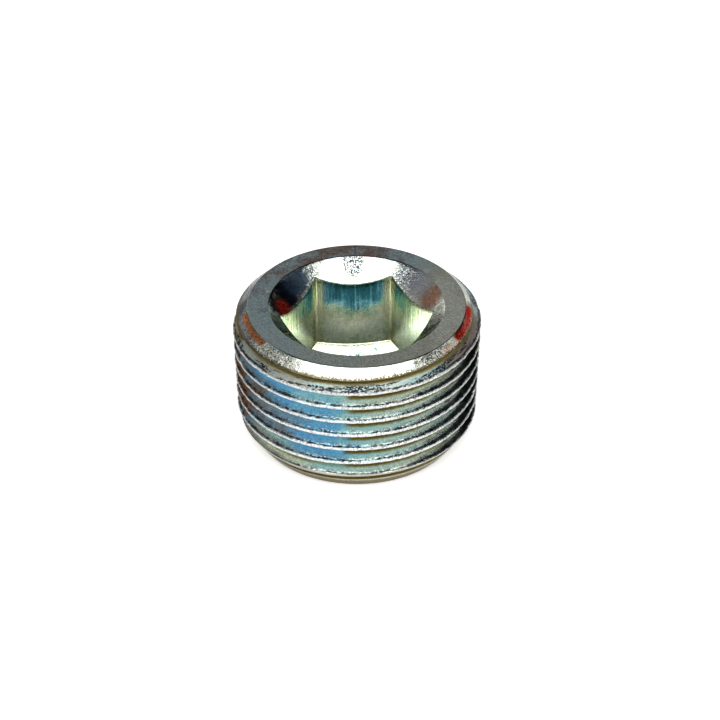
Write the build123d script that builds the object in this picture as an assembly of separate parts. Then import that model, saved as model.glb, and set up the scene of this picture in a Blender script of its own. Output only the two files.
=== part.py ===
from build123d import *
import os
from math import atan, ceil, cos, degrees, radians, sqrt, tan

# Hex socket plug: a countersunk pipe plug with an outside taper thread, made in one
# piece.  It stands on its small end: the axis is +Z, the origin is the centre of the
# small end face, and the hex socket opens upwards.  Millimetres and degrees.

# --- body ---
overall_length = 15.75
top_chamfer_width = 1.75
top_chamfer_angle = 45.0
lead_in_width = 1.87
lead_in_height = 2.90
rim_break = 0.18

# --- taper pipe thread of 60 degree form, 14 turns to the inch, taper 1 in 16 ---
thread_pitch = 1.8143
pitch_radius_at_small_end = 12.29
taper_angle = 1.79
thread_half_angle = 30.0
crest_truncation = 0.16
front_crest_height = 13.40

# --- hex socket ---
hex_across_flats = 14.29
hex_turn = 3.0
floor_thickness = 4.10
floor_flat_radius = 3.00
floor_angle = 20.0
countersink_overhang = 1.25
countersink_angle = 43.0

# --- worked out from the sizes above ---
taper = tan(radians(taper_angle))
sharp_v_height = thread_pitch / 2 / tan(radians(thread_half_angle))
crest_above_pitch_line = sharp_v_height / 2 - crest_truncation
hex_corner_radius = hex_across_flats / sqrt(3)
countersink_radius = hex_corner_radius + countersink_overhang

# The groove's cutter stands a little proud of the crests and winds on past both ends,
# so that the thread dies away in the two chamfers as a cut thread does.
cutter_above_crest = crest_truncation / 2
cutter_overrun = thread_pitch


def rise(run, angle):
    """Height gained over a horizontal run, on a slope of an angle."""
    return run * tan(radians(angle))


def crest_radius(height):
    """Radius of the cone over the thread crests, at a height."""
    return pitch_radius_at_small_end + crest_above_pitch_line + height * taper


def turned(*corners):
    """Solid of revolution about the axis, from the corners of its half section."""
    outline = Polyline(*[(radius, 0, height) for radius, height in corners], close=True)
    return revolve(make_face(outline), Axis.Z)


def rim(body, radius, height):
    """The round edge of a turned body that lies nearest to a radius and a height."""

    def distance(edge):
        return abs(edge.radius - radius) + abs(edge.center().Z - height)

    return body.edges().filter_by(GeomType.CIRCLE).sort_by(distance)[0]


def turned_blank():
    """The plug as turned: taper, two chamfers and countersink, with its rims broken."""
    top = overall_length
    face_radius = crest_radius(top) - top_chamfer_width
    small_face_radius = crest_radius(0) - lead_in_width
    chamfer_foot = top - rise(top_chamfer_width, top_chamfer_angle)
    blank = turned(
        (0, 0),
        (small_face_radius, 0),
        (crest_radius(lead_in_height), lead_in_height),
        (crest_radius(chamfer_foot), chamfer_foot),
        (face_radius, top),
        (0, top),
    )
    blank -= turned(
        (0, top - rise(countersink_radius, countersink_angle)),
        (countersink_radius, top),
        (0, top),
    )
    rims = [
        rim(blank, small_face_radius, 0),
        rim(blank, face_radius, top),
        rim(blank, countersink_radius, top),
    ]
    return chamfer(rims, rim_break)


def hex_socket():
    """The space in the socket: a hexagon over a floor that falls towards its middle."""
    floor_at_corners = floor_thickness + rise(hex_corner_radius - floor_flat_radius, floor_angle)
    bore = turned(
        (0, floor_thickness),
        (floor_flat_radius, floor_thickness),
        (hex_corner_radius, floor_at_corners),
        (hex_corner_radius, overall_length),
        (0, overall_length),
    )
    hexagon = RegularPolygon(hex_corner_radius, 6, rotation=hex_turn)
    return bore & extrude(hexagon, overall_length)


def winding(height, off_pitch_line):
    """One turn of a helix on the taper, from a height, at a distance off the pitch line."""
    return Edge.make_helix(
        pitch=thread_pitch / cos(radians(taper_angle)),
        height=thread_pitch,
        radius=pitch_radius_at_small_end + off_pitch_line + height * taper,
        center=(0, 0, height),
        angle=taper_angle,
    )


def groove_edges(height):
    """The root and the two outer edges of the groove, over the one turn from a height."""
    outside = crest_above_pitch_line + cutter_above_crest
    half_width = (sharp_v_height / 2 + outside) * tan(radians(thread_half_angle))
    return [
        winding(height, -sharp_v_height / 2),
        winding(height + half_width, outside),
        winding(height - half_width, outside),
    ]


def thread_groove():
    """One unbroken V groove that winds right-handed up the whole taper.

    It is sewn from a ruled face for each side of the V and each turn.  It starts on the
    front line, -Y, midway between two crests, where the crest height above is given.
    """
    front_height = front_crest_height - thread_pitch / 2
    turns_below = ceil((front_height + cutter_overrun) / thread_pitch)
    turns_above = ceil((overall_length + cutter_overrun - front_height) / thread_pitch)
    turns = [
        groove_edges(front_height + turn * thread_pitch)
        for turn in range(-turns_below, turns_above)
    ]
    faces = [
        Face.make_surface_from_curves(edge, next_edge)
        for edges in turns
        for edge, next_edge in zip(edges, edges[1:] + edges[:1])
    ]
    faces.append(Face(Wire.make_polygon([edge @ 0 for edge in turns[0]])))
    faces.append(Face(Wire.make_polygon([edge @ 1 for edge in turns[-1]])))
    return Solid(Shell(Face.sew_faces(faces)[0])).rotate(Axis.Z, -90)


plug_body = turned_blank() - thread_groove() - hex_socket()

os.makedirs("parts", exist_ok=True)
export_step(plug_body, "parts/plug_body.step")
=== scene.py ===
"""Hex socket plug: one threaded piece of plated steel, on a pale floor in soft light.

The plug is modelled in millimetres, as it is machined, and set to metres at the end.
It stands on its small end, with its axis on +Z and the hex socket opening upwards.
"""

import logging
import math
from abc import ABC, abstractmethod
from collections.abc import Callable, Iterable
from dataclasses import dataclass, field, replace
from enum import Enum

import bmesh
import bpy
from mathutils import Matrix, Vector, noise

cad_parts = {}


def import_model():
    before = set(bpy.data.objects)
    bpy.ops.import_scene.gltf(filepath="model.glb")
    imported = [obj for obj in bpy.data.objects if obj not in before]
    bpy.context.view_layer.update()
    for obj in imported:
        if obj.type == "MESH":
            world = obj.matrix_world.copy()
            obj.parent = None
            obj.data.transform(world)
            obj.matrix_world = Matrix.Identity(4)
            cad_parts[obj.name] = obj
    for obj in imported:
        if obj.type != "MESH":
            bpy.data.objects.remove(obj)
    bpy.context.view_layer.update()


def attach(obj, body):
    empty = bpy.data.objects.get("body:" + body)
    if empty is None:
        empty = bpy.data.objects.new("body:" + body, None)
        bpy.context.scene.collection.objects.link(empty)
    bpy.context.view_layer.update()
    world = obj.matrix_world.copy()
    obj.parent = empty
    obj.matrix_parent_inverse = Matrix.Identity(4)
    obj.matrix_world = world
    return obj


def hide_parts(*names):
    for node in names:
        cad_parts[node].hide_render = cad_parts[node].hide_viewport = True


log = logging.getLogger("plug")

MILLIMETRE = 0.001
HALF_TURN = 180.0

Colour = tuple[float, float, float]
Point = tuple[float, float]

# A ring of the half section: the radius and height that it has at an azimuth in radians.
Station = Callable[[float], Point]

# A place from 0 to 1 and its colour.
Stop = tuple[float, Colour]

# Noise, as its scale, its detail and the roughness of the detail.
Grain = tuple[float, float, float]

# A range of numbers, then what comes out at its two ends, where that isn't 0 and 1.
Band = tuple[float, ...]

BMesh = bmesh.types.BMesh
BMVert = bmesh.types.BMVert
Ring = list[bmesh.types.BMEdge]


def lerp(start: float, end: float, share: float) -> float:
    """Value at a share of the way from start to end."""
    return start + (end - start) * share


def between(start: Point, end: Point, share: float) -> Point:
    """Point at a share of the way from start to end, in the half section."""
    return lerp(start[0], end[0], share), lerp(start[1], end[1], share)


def rounded(before: Point, corner: Point, after: Point, reach: float, share: float) -> Point:
    """Point on the round that takes the place of a corner of the half section.

    Args:
        before: A point on the side that leads to the corner.
        corner: The sharp corner, as radius and height.
        after: A point on the side that leaves the corner.
        reach: How far the round runs along each side.
        share: Place on the round, from 0 at its start to 1 at its end.

    Returns:
        Radius and height of the point.
    """
    first = between(corner, before, reach / math.dist(corner, before))
    last = between(corner, after, reach / math.dist(corner, after))
    return between(between(first, corner, share), between(corner, last, share), share)


def steps(count: int) -> list[float]:
    """Shares of the way at the end of each of a number of equal steps."""
    return [step / count for step in range(1, count + 1)]


def fixed(radius: float, height: float) -> Station:
    """A station that is the same all round."""
    return lambda azimuth: (radius, height)


def straight(start: Station, end: Station, shares: Iterable[float]) -> list[Station]:
    """Stations at shares of the way along a straight line of the half section.

    Args:
        start: The line's first end.
        end: Its other end.
        shares: Places on the line, from 0 to 1.

    Returns:
        The stations, in order.
    """
    return [
        lambda azimuth, share=share: between(start(azimuth), end(azimuth), share)
        for share in shares
    ]


def bent(
    before: Station, corner: Station, after: Station, reach: float, shares: Iterable[float]
) -> list[Station]:
    """Stations over the round that takes the place of a corner.

    Args:
        before: A point on the side that leads to the corner.
        corner: The sharp corner.
        after: A point on the side that leaves the corner.
        reach: How far the round runs along each side.
        shares: Places on the round, from 0 to 1.

    Returns:
        The stations, in order.
    """
    return [
        lambda azimuth, share=share: rounded(
            before(azimuth), corner(azimuth), after(azimuth), reach, share
        )
        for share in shares
    ]


def radius_of(place: Vector) -> float:
    """Distance of a place from the axis."""
    return math.hypot(place.x, place.y)


def drawn_in(place: Vector, radius: float, height: float) -> Vector:
    """A place moved to another radius and height, at the same azimuth."""
    scale = radius / radius_of(place)
    return Vector((place.x * scale, place.y * scale, height))


def stand(name: str, data: bpy.types.ID) -> bpy.types.Object:
    """Makes an object of a mesh, a lamp or a camera, and links it to the scene.

    Args:
        name: Name of the object.
        data: Its mesh, lamp or camera.

    Returns:
        The new object.
    """
    thing = bpy.data.objects.new(name, data)
    bpy.context.scene.collection.objects.link(thing)
    return thing


def made_of(name: str, bm: BMesh) -> bpy.types.Object:
    """Turns a drawn mesh into an object of the scene.

    Args:
        name: Name of the object and its mesh.
        bm: The drawn mesh, which is freed.

    Returns:
        The new object.
    """
    mesh = bpy.data.meshes.new(name)
    bm.to_mesh(mesh)
    bm.free()
    return stand(name, mesh)


@dataclass(frozen=True)
class TaperThread:
    """Right-hand taper pipe thread of 60 degree form. Millimetres and degrees."""

    pitch: float = 1.8143
    pitch_radius: float = 12.29
    taper: float = 1 / 32
    half_angle: float = 30.0
    crest_truncation: float = 0.16
    root_truncation: float = 0.06
    front_crest_height: float = 13.40
    upper_rows: tuple[float, ...] = (0.0, 0.07, 0.14, 0.22, 0.31, 0.40, 0.65, 1.0)
    lower_rows: tuple[float, ...] = (0.0, 0.07, 0.20, 0.45, 0.80)

    @property
    def half_form(self) -> float:
        """Height of the sharp V above or below the pitch line."""
        return self.pitch / 4 / math.tan(math.radians(self.half_angle))

    @property
    def depth(self) -> float:
        """Distance from the crest's flat in to the root's flat."""
        return 2 * self.half_form - self.crest_truncation - self.root_truncation

    @property
    def crest_offset(self) -> float:
        """Distance of the crest's flat outside the pitch line."""
        return self.half_form - self.crest_truncation

    def crest_radius(self, height: float) -> float:
        """Radius of the cone over the crests, at a height."""
        return self.pitch_radius + self.crest_offset + height * self.taper

    def crest_share(self, offset: float) -> float:
        """How much a point belongs to the crest, from 1 on it to 0 at the root."""
        return 1.0 - (self.crest_offset - offset) / self.depth

    def flank(self, offset: float) -> float:
        """Distance of a flank from the middle of its crest, at an offset from the pitch line."""
        return (self.half_form - offset) * math.tan(math.radians(self.half_angle))

    def section(self) -> list[Point]:
        """One thread from root to root, as offset from the pitch line and height.

        Returns:
            The points, from the lowest to the highest.
        """
        foot = self.crest_offset - self.depth
        below = [self.crest_offset - inset for inset in reversed(self.lower_rows)]
        above = [self.crest_offset - inset for inset in self.upper_rows]
        return [
            (foot, -self.pitch / 2),
            (foot, -self.flank(foot)),
            *[(offset, -self.flank(offset)) for offset in below],
            (self.crest_offset, 0.0),
            *[(offset, self.flank(offset)) for offset in above],
            (foot, self.flank(foot)),
            (foot, self.pitch / 2),
        ]


@dataclass(frozen=True)
class HexSocket:
    """Hexagonal key socket with a countersunk mouth and a dished floor."""

    across_flats: float = 14.29
    turn: float = 3.0
    corner_round: float = 0.30
    corner_round_end: Point = (0.5, 0.87)
    floor_thickness: float = 4.10
    floor_flat_radius: float = 3.00
    floor_angle: float = 20.0
    floor_round: float = 0.12
    mouth_overhang: float = 1.25
    mouth_angle: float = 43.0
    mouth_round: float = 0.13
    edge_round: float = 0.07
    cone_rows: tuple[float, ...] = (0.15, 0.3, 0.45, 0.6, 0.75, 0.88)
    edge_rows: tuple[float, ...] = (0.0, 0.5, 1.0)
    wall_steps: int = 14
    floor_round_rows: tuple[float, ...] = (0.0, 0.35, 0.65, 1.0)
    floor_steps: int = 8
    flat_radii: tuple[float, ...] = (2.0, 1.0, 0.3)

    @property
    def mouth_radius(self) -> float:
        """Radius of the countersink at the face of the plug."""
        return self.across_flats / math.sqrt(3) + self.mouth_overhang

    def cone_height(self, radius: float, top: float) -> float:
        """Height of the countersink's cone at a radius, under a face at the top height."""
        return top - (self.mouth_radius - radius) * math.tan(math.radians(self.mouth_angle))

    def wall_radius(self, azimuth: float) -> float:
        """Distance of the hexagon from the axis, with its corners a little rounded.

        Args:
            azimuth: Angle round the axis from +X, in radians.

        Returns:
            The radius at that angle.
        """
        sixth = math.radians(60)
        off_corner = (azimuth - math.radians(self.turn) + sixth / 2) % sixth - sixth / 2
        apothem = self.across_flats / 2
        centre = (apothem - self.corner_round) / math.cos(sixth / 2)
        aside, outwards = self.corner_round_end
        half_angle = math.atan2(self.corner_round * aside, centre + self.corner_round * outwards)
        if abs(off_corner) > half_angle:
            return apothem / math.cos(sixth / 2 - abs(off_corner))
        across = centre * math.sin(off_corner)
        return centre * math.cos(off_corner) + math.sqrt(self.corner_round**2 - across**2)

    def floor_height(self, radius: float) -> float:
        """Height of the socket's floor at a radius."""
        run = max(0.0, radius - self.floor_flat_radius)
        return self.floor_thickness + run * math.tan(math.radians(self.floor_angle))

    def stations(self, top: float) -> list[Station]:
        """Stations down the countersink, the six walls and the dished floor.

        Args:
            top: Height of the face that the countersink opens in.

        Returns:
            The stations, from the end of the mouth's round to the middle of the floor.
        """
        slope = math.radians(self.mouth_angle)
        start = fixed(
            self.mouth_radius - self.mouth_round * math.cos(slope),
            top - self.mouth_round * math.sin(slope),
        )
        flat = fixed(self.floor_flat_radius, self.floor_thickness)

        def edge(azimuth: float) -> Point:
            """The sharp edge between the countersink and a wall."""
            radius = self.wall_radius(azimuth)
            return radius, self.cone_height(radius, top)

        def floor_edge(azimuth: float) -> Point:
            """The sharp corner between a wall and the floor."""
            radius = self.wall_radius(azimuth)
            return radius, self.floor_height(radius)

        return [
            *straight(start, edge, self.cone_rows),
            *bent(start, edge, floor_edge, self.edge_round, self.edge_rows),
            *straight(edge, floor_edge, steps(self.wall_steps)[:-1]),
            *bent(edge, floor_edge, flat, self.floor_round, self.floor_round_rows),
            *straight(floor_edge, flat, steps(self.floor_steps)),
            *[fixed(radius, self.floor_thickness) for radius in self.flat_radii],
        ]


@dataclass(frozen=True)
class CrestWear:
    """Knocks, burrs and lap lines along the crests of the thread. Millimetres."""

    knock_size: float = 0.9
    knock_depth: float = 0.05
    knock_floor: float = 0.12
    knock_gain: float = 2.2
    nick_size: float = 0.26
    nick_depth: float = 0.07
    nick_floor: float = 0.02
    nick_gain: float = 1.8
    nick_shift: Colour = (7.0, 3.0, 1.0)
    reach: float = 0.26
    lap_inset: float = 0.23
    lap_width: float = 0.10
    lap_depth: float = 0.014
    lap_size: Point = (0.35, 1.2)
    lap_floor: float = -0.25
    lap_gain: float = 4.0
    torn_height: float = 12.9
    torn_factor: float = 1.5

    def depth(self, thread: TaperThread, place: Vector, offset: float, above: float) -> float:
        """How far the surface is knocked in at a point of the thread.

        Args:
            thread: The thread that is worn.
            place: The point, in millimetres.
            offset: The point's distance outside the pitch line.
            above: The point's height over the middle of its own crest.

        Returns:
            Depth of the marks, towards the axis.
        """
        inset = thread.crest_offset - offset
        near = max(0.0, 1.0 - inset / self.reach)
        lap = max(0.0, 1.0 - abs(inset - self.lap_inset) / self.lap_width)
        if near <= 0.0 and lap <= 0.0:
            return 0.0
        torn = self.torn_factor if place.z > self.torn_height else 1.0
        knock = noise.noise(place / self.knock_size) - self.knock_floor
        nick = noise.noise(place / self.nick_size + Vector(self.nick_shift)) - self.nick_floor
        knock, nick = max(0.0, knock) * self.knock_gain, max(0.0, nick) * self.nick_gain
        depth = near * torn * (knock * self.knock_depth + nick * self.nick_depth)
        if above > 0:
            across, up = self.lap_size
            broken = noise.noise(Vector((place.x / across, place.y / across, place.z / up)))
            broken = max(0.0, (broken - self.lap_floor) * self.lap_gain)
            depth += lap * min(1.0, broken) * self.lap_depth
        return depth


@dataclass
class PlugBody:
    """The plug itself, as one closed skin wound and drawn from its half section."""

    name: str = "threaded_plug"
    node: str = "plug_body"
    length: float = 15.75
    top_chamfer_width: float = 1.75
    top_chamfer_angle: float = 45.0
    lead_in_width: float = 1.87
    lead_in_height: float = 2.90
    rim_round: float = 0.12
    rim_steps: int = 3
    face_steps: int = 4
    mouth_steps: int = 5
    small_end_radii: tuple[float, ...] = (8.0, 4.0, 1.0)
    columns: int = 480
    sharp_angle: float = 34.0
    thread: TaperThread = field(default_factory=TaperThread)
    socket: HexSocket = field(default_factory=HexSocket)

    def __post_init__(self) -> None:
        """Works out the radii of the two end faces."""
        self.face_radius = self.thread.crest_radius(self.length) - self.top_chamfer_width
        self.small_radius = self.thread.crest_radius(0) - self.lead_in_width

    def blank_radius(self, height: float) -> float:
        """Radius of the turned blank's two chamfers, at a height.

        Args:
            height: Height over the small end.

        Returns:
            The smaller radius of the two cones.
        """
        lead_in_end = self.thread.crest_radius(self.lead_in_height)
        lead_in = lerp(self.small_radius, lead_in_end, height / self.lead_in_height)
        chamfer = (self.length - height) / math.tan(math.radians(self.top_chamfer_angle))
        return min(lead_in, self.face_radius + chamfer)

    def wind_thread(self, bm: BMesh) -> None:
        """Winds the thread's section up the taper, well past both ends of the plug.

        Args:
            bm: An empty mesh.
        """
        pitch = self.thread.pitch
        crest = self.thread.front_crest_height
        turns_below = math.ceil(crest / pitch) + 1
        turns_above = math.ceil((self.length - crest) / pitch) + 1
        start = crest - turns_below * pitch
        points = [
            bm.verts.new((0, -(self.thread.pitch_radius + offset), start + height))
            for offset, height in self.thread.section()
        ]
        edges = [bm.edges.new(pair) for pair in zip(points, points[1:])]
        bmesh.ops.spin(
            bm,
            geom=points + edges,
            axis=(0, 0, 1),
            cent=(0, 0, 0),
            dvec=(0, 0, pitch / self.columns),
            angle=math.tau,
            steps=self.columns,
            use_merge=False,
            use_normal_flip=False,
            use_duplicate=False,
        )
        first_turn = bm.verts[:] + bm.edges[:] + bm.faces[:]
        for turn in range(1, turns_below + turns_above):
            copied = bmesh.ops.duplicate(bm, geom=first_turn)["geom"]
            vertices = [item for item in copied if isinstance(item, BMVert)]
            bmesh.ops.translate(bm, vec=(0, 0, pitch * turn), verts=vertices)
        weld = pitch / 1000
        bmesh.ops.remove_doubles(bm, verts=bm.verts, dist=weld)

    def column_of(self, vertex: BMVert) -> int:
        """Number of the upright column of vertices that a vertex stands in."""
        share = math.atan2(vertex.co.y, vertex.co.x) / math.tau
        return round(share * self.columns) % self.columns

    def shape_crests(self, bm: BMesh, wear: CrestWear) -> None:
        """Sets the taper, and knocks and burrs the crests.

        Args:
            bm: The wound thread, still cylindrical.
            wear: The marks that handling and rolling left on the crests.
        """
        thread = self.thread
        crest = bm.verts.layers.float.new("crest")
        for vertex in bm.verts:
            radius, height = radius_of(vertex.co), vertex.co.z
            offset = radius - thread.pitch_radius
            turn = math.atan2(vertex.co.x, -vertex.co.y) / math.tau
            rows = (height - thread.front_crest_height) / thread.pitch - turn
            above = (rows - round(rows)) * thread.pitch
            vertex[crest] = thread.crest_share(offset)
            cut = wear.depth(thread, vertex.co, offset, above)
            vertex.co = drawn_in(vertex.co, radius + height * thread.taper - cut, height)

    def trim_to_blank(self, bm: BMesh) -> None:
        """Draws the thread in to the two chamfers, and gathers its ends on two rings.

        Args:
            bm: The wound and tapered thread.
        """
        foot, head = self.ring_heights()
        columns: dict[int, list[BMVert]] = {}
        for vertex in bm.verts:
            columns.setdefault(self.column_of(vertex), []).append(vertex)
        for column in columns.values():
            column.sort(key=lambda vertex: vertex.co.z)
            self.trim_column(column, foot, head)
        weld, shortest = self.thread.pitch / 2000, self.thread.pitch / 5000
        bmesh.ops.remove_doubles(bm, verts=bm.verts, dist=weld)
        bmesh.ops.dissolve_degenerate(bm, edges=bm.edges, dist=shortest)

    def ring_heights(self) -> Point:
        """Heights at which the two chamfers end and the rounds of the rims begin.

        Returns:
            The height at the small end and the height at the face.
        """
        lead_in_run = self.thread.crest_radius(self.lead_in_height) - self.small_radius
        slope = math.atan2(self.lead_in_height, lead_in_run)
        drop = self.rim_round * math.sin(math.radians(self.top_chamfer_angle))
        return self.rim_round * math.sin(slope), self.length - drop

    def trim_column(self, column: list[BMVert], foot: float, head: float) -> None:
        """Trims one upright column of vertices to the blank.

        Where the thread crosses a chamfer, the nearer of the two vertices is drawn to
        the crossing, so that the run-out of the thread stays a clean line.

        Args:
            column: The vertices, from the lowest to the highest.
            foot: Height at which the column starts.
            head: Height at which the column ends.
        """
        places = [vertex.co.copy() for vertex in column]
        heights = [min(max(place.z, foot), head) for place in places]
        proud = [
            radius_of(place) - self.blank_radius(height)
            for place, height in zip(places, heights)
        ]
        for below, (low, high) in enumerate(zip(proud, proud[1:])):
            if (low > 0) == (high > 0):
                continue
            share = low / (low - high)
            crossing = places[below].lerp(places[below + 1], share)
            column[below if share < 0.5 else below + 1].co = crossing
        slack = self.thread.pitch / 100
        for vertex in column:
            height = vertex.co.z
            if height < foot + slack or height > head - slack:
                height = foot if height < foot + slack else head
                radius = self.blank_radius(height)
            else:
                radius = min(radius_of(vertex.co), self.blank_radius(height))
            vertex.co = drawn_in(vertex.co, radius, height)

    def draw_rings(self, bm: BMesh, ring: Ring, stations: Iterable[Station]) -> Ring:
        """Extrudes an open ring of edges through a row of stations.

        Args:
            bm: The mesh that the ring belongs to.
            ring: The edges of the open ring.
            stations: Each gives the next ring's radius and height at an azimuth.

        Returns:
            The edges of the last ring.
        """
        crest = bm.verts.layers.float["crest"]
        for station in stations:
            made = bmesh.ops.extrude_edge_only(bm, edges=ring)["geom"]
            ring = [item for item in made if isinstance(item, bmesh.types.BMEdge)]
            for vertex in (item for item in made if isinstance(item, BMVert)):
                vertex[crest] = 0.0
                azimuth = math.tau * self.column_of(vertex) / self.columns
                radius, height = station(azimuth)
                vertex.co = (radius * math.cos(azimuth), radius * math.sin(azimuth), height)
        return ring

    def open_ring(self, bm: BMesh, height: float) -> Ring:
        """The open edges of the skin that lie nearest to a height.

        Args:
            bm: The skin, still open at an end.
            height: Height of that end.

        Returns:
            The end's edges.
        """
        reach = self.length / 2
        edges = [edge for edge in bm.edges if edge.is_boundary]
        return [edge for edge in edges if abs(edge.verts[0].co.z - height) < reach]

    def close_ring(self, bm: BMesh, ring: Ring) -> None:
        """Draws a last small ring together in one point on the axis.

        Args:
            bm: The mesh that the ring belongs to.
            ring: The edges of the small ring.
        """
        vertices = list({vertex for edge in ring for vertex in edge.verts})
        centre = Vector((0, 0, vertices[0].co.z))
        bmesh.ops.pointmerge(bm, verts=vertices, merge_co=centre)

    def small_end_stations(self) -> list[Station]:
        """Stations over the rim of the small end and across its flat face.

        Returns:
            The stations, from the lead-in chamfer to the axis.
        """
        lead_in = fixed(self.thread.crest_radius(self.lead_in_height), self.lead_in_height)
        corner, centre = fixed(self.small_radius, 0.0), fixed(0.0, 0.0)
        return [
            *bent(lead_in, corner, centre, self.rim_round, steps(self.rim_steps)),
            *[fixed(radius, 0.0) for radius in self.small_end_radii],
        ]

    def face_stations(self) -> list[Station]:
        """Stations over the rim, across the flat face and round into the countersink.

        Returns:
            The stations, from the top chamfer to the countersink.
        """
        top, socket = self.length, self.socket
        chamfer_drop = math.tan(math.radians(self.top_chamfer_angle))
        chamfer = fixed(self.face_radius + 1, top - chamfer_drop)
        rim, mouth = fixed(self.face_radius, top), fixed(socket.mouth_radius, top)
        outer = fixed(self.face_radius - self.rim_round, top)
        inner = fixed(socket.mouth_radius + socket.mouth_round, top)
        inside = socket.mouth_radius - 1
        cone = fixed(inside, socket.cone_height(inside, top))
        return [
            *bent(chamfer, rim, mouth, self.rim_round, steps(self.rim_steps)),
            *straight(outer, inner, steps(self.face_steps)),
            *bent(rim, mouth, cone, socket.mouth_round, steps(self.mouth_steps)),
        ]

    def build(self, wear: CrestWear) -> bpy.types.Object:
        """Makes the plug's skin and links it to the scene.

        Args:
            wear: The marks on the thread's crests.

        Returns:
            The plug, in metres, with no material yet.
        """
        bm = bmesh.new()
        self.wind_thread(bm)
        self.shape_crests(bm, wear)
        self.trim_to_blank(bm)
        ring = self.draw_rings(bm, self.open_ring(bm, 0.0), self.small_end_stations())
        self.close_ring(bm, ring)
        ring = self.draw_rings(bm, self.open_ring(bm, self.length), self.face_stations())
        self.close_ring(bm, self.draw_rings(bm, ring, self.socket.stations(self.length)))
        bmesh.ops.recalc_face_normals(bm, faces=bm.faces)
        self.mark_edges(bm)
        for face in bm.faces:
            face.material_index = self.region_of(face.calc_center_median()).value
        bmesh.ops.scale(bm, vec=(MILLIMETRE,) * 3, verts=bm.verts)
        open_edges = sum(edge.is_boundary for edge in bm.edges)
        log.info("%s: %d faces, %d open edges", self.name, len(bm.faces), open_edges)
        return made_of(self.name, bm)

    def region_of(self, middle: Vector) -> "Region":
        """The region that the middle of a face lies in.

        Args:
            middle: The middle of the face, in millimetres.

        Returns:
            The region, which picks the finish.
        """
        slack = self.thread.pitch / 40
        above_floor = 1.0
        radius = radius_of(middle)
        if radius < self.socket.mouth_radius:
            cone = self.socket.cone_height(radius, self.length)
            in_socket = above_floor < middle.z < cone - slack
            return Region.BROACHED if in_socket else Region.TURNED
        if radius < self.blank_radius(middle.z) - slack:
            on_flat = min(middle.z, self.length - middle.z) < slack
            return Region.TURNED if on_flat else Region.THREAD
        on_crest = radius > self.thread.crest_radius(middle.z) - 3 * slack
        return Region.THREAD if on_crest else Region.TURNED

    def mark_edges(self, bm: BMesh) -> None:
        """Shades the skin smooth, apart from the edges that are truly sharp.

        Args:
            bm: The closed skin.
        """
        limit = math.radians(self.sharp_angle)
        for face in bm.faces:
            face.smooth = True
        for edge in bm.edges:
            edge.smooth = edge.calc_face_angle(0.0) < limit


class MathStep(Enum):
    """The sums of numbers that the finishes use."""

    ADD = "ADD"
    SUBTRACT = "SUBTRACT"
    MULTIPLY = "MULTIPLY"
    LARGER = "MAXIMUM"
    UNSIGNED = "ABSOLUTE"
    ROOT = "SQRT"
    SINE = "SINE"
    ANGLE = "ARCTAN2"


class VectorStep(Enum):
    """The sums of whole places or colours that the finishes use."""

    ADD = "ADD"
    SCALE = "SCALE"
    DISTANCE = "DISTANCE"
    LENGTH = "LENGTH"
    AGREEMENT = "DOT_PRODUCT"


class Region(Enum):
    """The machined regions of the plug, each with its own marks."""

    THREAD = 0
    TURNED = 1
    BROACHED = 2


class Signal:
    """A number, place or colour that a node gives. Plain operators add the nodes of a sum."""

    def __init__(self, bench: "Workbench", socket: bpy.types.NodeSocket) -> None:
        """Keeps the socket, and the workbench that the next nodes are added on."""
        self.bench = bench
        self.socket = socket

    def __add__(self, other: "Signal | float") -> "Signal":
        """This number plus another."""
        return self.bench.sum(MathStep.ADD, self, other)

    def __sub__(self, other: "Signal | float") -> "Signal":
        """This number less another."""
        return self.bench.sum(MathStep.SUBTRACT, self, other)

    def __rsub__(self, other: float) -> "Signal":
        """A plain number less this one."""
        return self.bench.sum(MathStep.SUBTRACT, other, self)

    def __mul__(self, other: "Signal | float") -> "Signal":
        """This number times another."""
        return self.bench.sum(MathStep.MULTIPLY, self, other)

    def __abs__(self) -> "Signal":
        """The number without its sign."""
        return self.bench.sum(MathStep.UNSIGNED, self, 0.0)

    def larger(self, other: "Signal") -> "Signal":
        """The larger of two numbers."""
        return self.bench.sum(MathStep.LARGER, self, other)

    def sine(self) -> "Signal":
        """The sine of an angle in degrees."""
        return self.bench.sum(MathStep.SINE, self * math.radians(1), 0.0)

    def spread(
        self, low: float, high: float, start: float = 0.0, end: float = 1.0, smooth: bool = True
    ) -> "Signal":
        """The number moved from the range low to high on to the range start to end.

        Args:
            low: The number that gives the start.
            high: The number that gives the end.
            start: What comes out at and before low.
            end: What comes out at and past high.
            smooth: Whether it eases in and out.

        Returns:
            The moved number.
        """
        node = self.bench.add("ShaderNodeMapRange")
        if smooth:
            node.interpolation_type = "SMOOTHSTEP"
        for socket, given in zip(node.inputs, (self, low, high, start, end)):
            self.bench.feed(socket, given)
        return Signal(self.bench, node.outputs[0])

    def ramp(self, stops: Iterable[Stop]) -> "Signal":
        """A colour read from a row of stops.

        Args:
            stops: Places from 0 to 1, each with its colour.

        Returns:
            The colour at this number.
        """
        node = self.bench.add("ShaderNodeValToRGB", Fac=self)
        elements = node.color_ramp.elements
        for index, (place, colour) in enumerate(stops):
            stop = elements[index] if index < 2 else elements.new(place)
            stop.position = place
            stop.color = (*colour, 1.0)
        return Signal(self.bench, node.outputs["Color"])

    def curve(self, low: float, high: float, points: Iterable[Point]) -> "Signal":
        """A number read from a row of points, each a place from low to high and its number."""
        stops = [((place - low) / (high - low), (level,) * 3) for place, level in points]
        return self.spread(low, high, smooth=False).ramp(stops)


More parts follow.
